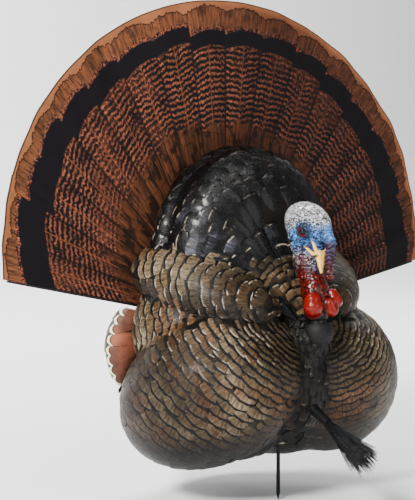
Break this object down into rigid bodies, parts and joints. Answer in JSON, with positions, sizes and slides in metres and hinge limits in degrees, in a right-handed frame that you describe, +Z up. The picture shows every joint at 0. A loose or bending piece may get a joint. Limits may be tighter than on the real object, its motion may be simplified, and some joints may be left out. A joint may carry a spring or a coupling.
{
  "type": "turkey decoy",
  "caption": "Strutting turkey decoy: hollow moulded body on a ground stake, plug-in head, hanging beard, and a cloth tail fan on ribs that folds like a hand fan.",
  "frame": {"origin": "on the stake's axis, where the straight rod meets its point", "axes": "+Z up along the stake, -Y the way the bird faces, +X to the bird's left"},
  "size_m": [0.66, 0.3783, 0.646],
  "materials": {
    "painted_body": "painted soft satin",
    "painted_wing": "painted satin",
    "black_plastic": "moulded satin",
    "stake_steel": "black oxide satin",
    "bush_plastic": "natural nylon",
    "painted_head": "painted matt with red and blue",
    "eye_gloss": "clear gloss over dark iris",
    "bristle": "coarse synthetic hair",
    "zinc_steel": "zinc plated",
    "rib_fibre": "pultruded satin",
    "fan_cloth": "printed woven cloth"
  },
  "bodies": {
    "stake": {"stake": "stake_steel", "stake_collar": "stake_steel"},
    "body": {"body_shell": "painted_body", "left_wing": "painted_wing", "right_wing": "painted_wing", "wing_pegs": "black_plastic", "stake_socket": "black_plastic", "lower_bush": "bush_plastic", "top_bush": "bush_plastic", "neck_socket": "black_plastic", "beard_grommet": "black_plastic", "beard_stud": "black_plastic", "beard_nut": "black_plastic", "beard_ferrule": "black_plastic", "beard_bristles": "bristle", "fan_bracket": "black_plastic", "bracket_screws": "zinc_steel", "fan_bolt": "zinc_steel", "rib_washers": "bush_plastic", "clamp_plate": "black_plastic", "knob_washer": "zinc_steel", "rib_middle": "rib_fibre"},
    "head": {"neck_plug": "black_plastic", "head_shell": "painted_head", "left_eye": "eye_gloss", "right_eye": "eye_gloss"},
    "fan_knob": {"fan_knob": "black_plastic"},
    "fan_left_1": {"rib_left_1": "rib_fibre", "panel_left_1": "fan_cloth"},
    "fan_left_2": {"rib_left_2": "rib_fibre", "panel_left_2": "fan_cloth"},
    "fan_left_3": {"rib_left_3": "rib_fibre", "panel_left_3": "fan_cloth"},
    "fan_left_4": {"rib_left_4": "rib_fibre", "panel_left_4": "fan_cloth"},
    "fan_right_1": {"rib_right_1": "rib_fibre", "panel_right_1": "fan_cloth"},
    "fan_right_2": {"rib_right_2": "rib_fibre", "panel_right_2": "fan_cloth"},
    "fan_right_3": {"rib_right_3": "rib_fibre", "panel_right_3": "fan_cloth"},
    "fan_right_4": {"rib_right_4": "rib_fibre", "panel_right_4": "fan_cloth"}
  },
  "joints": [
    {"name": "body_swivel", "type": "hinge", "parent": "stake", "child": "body", "pos_m": [0, 0, 0.058], "axis": [0, 0, 1], "continuous": true},
    {"name": "head_turn", "type": "hinge", "parent": "body", "child": "head", "pos_m": [0, -0.081, 0.222], "axis": [0, 0.1736, 0.9848], "range_deg": [-45, 45]},
    {"name": "fan_knob_turn", "type": "hinge", "parent": "body", "child": "fan_knob", "pos_m": [0, 0.128, 0.209], "axis": [0, 1, 0], "range_deg": [0, 360]},
    {"name": "fold_left_1", "type": "hinge", "parent": "body", "child": "fan_left_1", "pos_m": [0, 0.116, 0.209], "axis": [0, -1, 0], "range_deg": [0, 16.4], "deforming": ["panel_left_1"]},
    {"name": "fold_left_2", "type": "hinge", "parent": "fan_left_1", "child": "fan_left_2", "pos_m": [0, 0.116, 0.209], "axis": [0, -1, 0], "range_deg": [0, 16.4], "deforming": ["panel_left_2"]},
    {"name": "fold_left_3", "type": "hinge", "parent": "fan_left_2", "child": "fan_left_3", "pos_m": [0, 0.116, 0.209], "axis": [0, -1, 0], "range_deg": [0, 16.4], "deforming": ["panel_left_3"]},
    {"name": "fold_left_4", "type": "hinge", "parent": "fan_left_3", "child": "fan_left_4", "pos_m": [0, 0.116, 0.209], "axis": [0, -1, 0], "range_deg": [0, 16.4], "deforming": ["panel_left_4"]},
    {"name": "fold_right_1", "type": "hinge", "parent": "body", "child": "fan_right_1", "pos_m": [0, 0.116, 0.209], "axis": [0, 1, 0], "range_deg": [0, 16.4], "deforming": ["panel_right_1"]},
    {"name": "fold_right_2", "type": "hinge", "parent": "fan_right_1", "child": "fan_right_2", "pos_m": [0, 0.116, 0.209], "axis": [0, 1, 0], "range_deg": [0, 16.4], "deforming": ["panel_right_2"]},
    {"name": "fold_right_3", "type": "hinge", "parent": "fan_right_2", "child": "fan_right_3", "pos_m": [0, 0.116, 0.209], "axis": [0, 1, 0], "range_deg": [0, 16.4], "deforming": ["panel_right_3"]},
    {"name": "fold_right_4", "type": "hinge", "parent": "fan_right_3", "child": "fan_right_4", "pos_m": [0, 0.116, 0.209], "axis": [0, 1, 0], "range_deg": [0, 16.4], "deforming": ["panel_right_4"]}
  ],
  "couplings": [
    {"joint": "fold_left_2", "follows": "fold_left_1", "ratio": 1},
    {"joint": "fold_left_3", "follows": "fold_left_1", "ratio": 1},
    {"joint": "fold_left_4", "follows": "fold_left_1", "ratio": 1},
    {"joint": "fold_right_1", "follows": "fold_left_1", "ratio": 1},
    {"joint": "fold_right_2", "follows": "fold_left_1", "ratio": 1},
    {"joint": "fold_right_3", "follows": "fold_left_1", "ratio": 1},
    {"joint": "fold_right_4", "follows": "fold_left_1", "ratio": 1}
  ]
}
